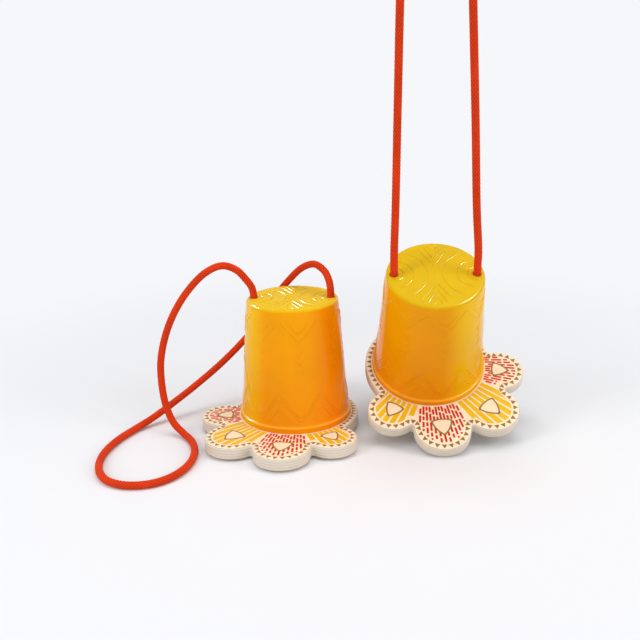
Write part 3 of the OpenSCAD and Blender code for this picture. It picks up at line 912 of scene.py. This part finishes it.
def dashes(mesh, toe, turn):
    """Rows of short red dashes that run out from the cup, each row stepped from the next."""
    row = toe_field(toe, turn)
    for i in range(DASH_ROWS):
        near, way, length = row((i + 0.5) / DASH_ROWS * 2 - 1)
        half = Vector((-way.y, way.x, 0)) * DASH_W / 2
        tip = way * DASH_POINT
        at = 0.0 if i % 2 else -DASH_STAGGER
        k = 0
        while at < length - ROW_LEAST:
            dash = DASH_SHORT + DASH_LONGER * ((i * 7 + k * 5) % 4) / 3
            a, b = max(at, 0.0), min(at + dash, length)
            if b - a > DASH_LEAST:
                p, q = near + way * a, near + way * b
                printed(mesh, [p - half + tip, p, p + half + tip, q + half - tip, q, q - half - tip], RED)
            at += dash + DASH_GAP
            k += 1


def bands(mesh, toe, turn):
    """Yellow bands that fan out from the cup, with bare wood between them."""
    row = toe_field(toe, turn)
    for i in range(BANDS):
        a, b = i / BANDS * 2 - 1, (i + 1) / BANDS * 2 - 1
        a += BAND_BARE if i > 0 else 0.0
        b -= BAND_BARE if i < BANDS - 1 else 0.0
        cuts = [row(a + (b - a) * k / BAND_STEPS) for k in range(BAND_STEPS + 1)]
        cuts = [cut for cut in cuts if cut[2] > ROW_LEAST]
        if len(cuts) > 1:
            printed(mesh, [near for near, way, length in cuts]
                    + [near + way * length for near, way, length in cuts[::-1]], YELLOW)


def mark(mesh, toe, turn):
    """A pale rounded triangle outlined in brown, flat side to the cup."""
    toe_turn, reach, r, pad = toe
    centre = at_turn(toe_turn + turn, reach - MARK_BACK)
    for size, ink, layer in ((r * MARK_SHARE, BROWN, 2), (r * MARK_SHARE - MARK_LINE, PALE, 3)):
        tips = [at_turn(toe_turn + turn + 120 * k, size) for k in range(3)]
        corners = []
        for a, b in zip(tips, tips[1:] + tips[:1]):
            out = (a + b).normalized()
            for t in MARK_SIDE_SHARES:
                corners.append(centre + a.lerp(b, t) + out * size * BULGE_SHARE * t * (1 - t))
            corners.append(centre + b * TIP_SHARE)
        printed(mesh, corners, ink, layer)


for side in STILTS:
    mesh = bmesh.new()
    teeth(mesh, SPLAY[side])
    for toe, ink in zip(TOES, TOE_INKS[side]):
        (dashes if ink == RED else bands)(mesh, toe, SPLAY[side])
        mark(mesh, toe, SPLAY[side])
    own_place(mesh, side)
    finished(mesh, side + "_paw_print", inks, side + "_stilt")


# The rubber under the paws
# A round pad under each toe and a curved strip under the heel, cut from black foam
# rubber sheet and glued on, so that the wood doesn't slip.
PAD_STEPS = 64
STRIP_R, STRIP_W, STRIP_BEVEL = 0.0505, 0.007, 0.0004
STRIP_STEP, END_STEP = 3, 15

foam, tree, shader = finish_of("foam_rubber", Specular_IOR_Level=0.3)
own = kept(tree, "own", "Vector")
blotches, scuffs = handled(tree, own, 80.0)
cells = add(tree, "TexVoronoi", {"Vector": own, "Scale": 1400.0}).outputs["Distance"]
dusty = ramp(tree, blotches, (0.3, (0.012, 0.012, 0.012)), (0.55, (0.018, 0.018, 0.018)),
             (0.75, (0.03, 0.03, 0.03)))
rubbed = mixed(tree, scuffs, dusty, (0.045, 0.043, 0.040))
dull = spread(tree, blotches, 0.0, 1.0, 0.6, 0.85)
feed(tree, shader, Base_Color=rubbed, Roughness=dull, Normal=bump(tree, cells, 0.4, 0.0002))


def round_end(turn, way):
    """The half round at one end of the strip, from its outer or its inner side."""
    middle = at_turn(turn, STRIP_R)
    return [middle + STRIP_W / 2 * (math.cos(math.radians(t)) * at_turn(turn, 1)
                                    + math.sin(math.radians(t)) * way * at_turn(turn + 90, 1))
            for t in range(END_STEP, 180, END_STEP)]


for side in STILTS:
    for number, (toe_turn, reach, r, pad) in enumerate(TOES, 1):
        mesh = bmesh.new()
        turned(mesh, [(0.0, 0.0), (pad - 0.0005, 0.0), (pad - 0.0001, 0.0002), (pad, 0.0006),
                      (pad, SOLE_Z - 0.0002), (pad - 0.0002, SOLE_Z), (0.0, SOLE_Z)], steps=PAD_STEPS)
        bmesh.ops.remove_doubles(mesh, verts=mesh.verts, dist=SAME_SPOT)
        smoothed(mesh)
        bmesh.ops.translate(mesh, verts=mesh.verts, vec=at_turn(toe_turn + SPLAY[side], reach))
        bmesh.ops.recalc_face_normals(mesh, faces=mesh.faces)
        own_place(mesh, side)
        piece = finished(mesh, f"{side}_pad_{number}_foam", [foam], side + "_stilt")
        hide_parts(f"{side}_toe_pad_{number}")
    heel = 180 + SPLAY[side]
    outer = [at_turn(heel + a, STRIP_R + STRIP_W / 2) for a in range(90, -91, -STRIP_STEP)]
    inner = [at_turn(heel + a, STRIP_R - STRIP_W / 2) for a in range(-90, 91, STRIP_STEP)]
    mesh = bmesh.new()
    slab(mesh, outer + round_end(heel - 90, -1) + inner + round_end(heel + 90, 1)[::-1], 0.0, SOLE_Z)
    bmesh.ops.recalc_face_normals(mesh, faces=mesh.faces)
    rims = [e for e in mesh.edges if all(v.co.z < LEVEL for v in e.verts)]
    bmesh.ops.bevel(mesh, geom=rims, offset=STRIP_BEVEL, segments=2, affect="EDGES", profile=0.5, material=-1)
    own_place(mesh, side)
    piece = finished(mesh, side + "_heel_strip_foam", [foam], side + "_stilt")
    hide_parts(side + "_heel_strip")


# The screws
# Four zinc-plated countersunk wood screws go up through each paw into the cup's
# bosses. Their heads are flush with the wood.
zinc, tree, shader = finish_of("zinc_plate", Metallic=1.0)
where = add(tree, "TexCoord").outputs["Object"]
blotches, scuffs = handled(tree, where, 350.0)
plated = ramp(tree, blotches, (0.3, (0.52, 0.52, 0.50)), (0.55, (0.64, 0.64, 0.63)),
              (0.75, (0.72, 0.71, 0.66)))
polish = spread(tree, scuffs, 0.0, 1.0, 0.28, 0.5)
swirl = noise(tree, where, 3000.0, 2.0)
feed(tree, shader, Base_Color=plated, Roughness=polish, Normal=bump(tree, swirl, 0.15, 0.0001))
for side in STILTS:
    screws = frame["nodes"][side + "_screws"]
    screws.data.materials.clear()
    screws.data.materials.append(zinc)


# The table and the lamps
# A white sheet that fades into a white room. Four large soft lamps light everything and
# show in no reflection. Four small ones only glint, on the cups or on their ribs.
TABLE_HALF = 4.0
FADE_FROM, FADE_TO = 0.2, 0.72
ROOM_WHITE = (0.925, 0.93, 0.955)
LAMP_AIM = Vector((0, 0, 0.08))


def looked_at(tree):
    """1 where the camera looks, straight or by gloss or glass, and 0 for the light on the object."""
    path = add(tree, "LightPath").outputs
    seen = maths(tree, "MAXIMUM", path["Is Camera Ray"], path["Is Glossy Ray"])
    return maths(tree, "MAXIMUM", seen, path["Is Transmission Ray"])


mesh = bmesh.new()
bmesh.ops.create_grid(mesh, x_segments=1, y_segments=1, size=TABLE_HALF)
data = bpy.data.meshes.new("table_sheet")
mesh.to_mesh(data)
mesh.free()
floor = bpy.data.objects.new("table_sheet", data)
scene.collection.objects.link(floor)
paper, tree, shader = finish_of("white_paper", Specular_IOR_Level=0.1, Roughness=0.9)
seen = looked_at(tree)
feed(tree, shader, Base_Color=mixed(tree, seen, (0.72, 0.72, 0.73), (0.81, 0.82, 0.84)))
where = add(tree, "TexCoord").outputs["Object"]
far = add(tree, "VectorMath", {0: where}, operation="LENGTH").outputs["Value"]
fade = spread(tree, far, FADE_FROM, FADE_TO, interpolation_type="SMOOTHSTEP")
glow = add(tree, "Emission", {"Color": (*ROOM_WHITE, 1), "Strength": 1.0}).outputs["Emission"]
sheet = add(tree, "MixShader", {0: maths(tree, "MULTIPLY", fade, seen), 1: shader.outputs["BSDF"], 2: glow})
tree.links.new(sheet.outputs["Shader"], tree.nodes["Material Output"].inputs["Surface"])
data.materials.append(paper)

room = bpy.data.worlds.new("white_room")
scene.world = room
room.use_nodes = True
tree = room.node_tree
room_light = mixed(tree, looked_at(tree), (0.46, 0.46, 0.47), ROOM_WHITE)
tree.links.new(room_light, tree.nodes["Background"].inputs["Color"])


def soft_box(name, place, size, power, glints_on=()):
    """A lamp panel that faces the pair. It lights everything, or only glints on these pieces."""
    lamp = bpy.data.lights.new(name, "AREA")
    lamp.shape = "RECTANGLE"
    lamp.size, lamp.size_y = size
    lamp.energy = power
    box = bpy.data.objects.new(name, lamp)
    box.location = place
    box.rotation_euler = (LAMP_AIM - Vector(place)).to_track_quat("-Z", "Y").to_euler()
    box.visible_camera = False
    box.visible_glossy = bool(glints_on)
    box.visible_diffuse = not glints_on
    if glints_on:
        lit = bpy.data.collections.new(name + "_lit")
        for piece in glints_on:
            lit.objects.link(bpy.data.objects[piece])
        box.light_linking.receiver_collection = lit
    scene.collection.objects.link(box)


soft_box("left_box", (-1.1, -0.75, 0.75), (0.45, 1.0), 7.4)
soft_box("right_box", (1.2, -0.45, 0.65), (0.45, 1.0), 6.8)
soft_box("front_box", (0.1, -1.5, 0.45), (1.4, 0.8), 3.0)
soft_box("ceiling", (0, 0.1, 1.5), (1.4, 1.2), 10.5)
soft_box("left_glint", (-1.0, 0.48, 0.83), (0.75, 0.24), 42.0, ["left_cup_moulding"])
soft_box("right_glint", (0.90, -0.36, 1.03), (0.65, 0.26), 44.0, ["right_cup_moulding"])
soft_box("left_rib_glint", (-0.85, 0.80, 0.78), (0.8, 0.4), 55.0, ["left_cup_ribs"])
soft_box("right_rib_glint", (0.95, -0.25, 1.04), (0.8, 0.4), 180.0, ["right_cup_ribs"])

scene.view_settings.view_transform = "Standard"
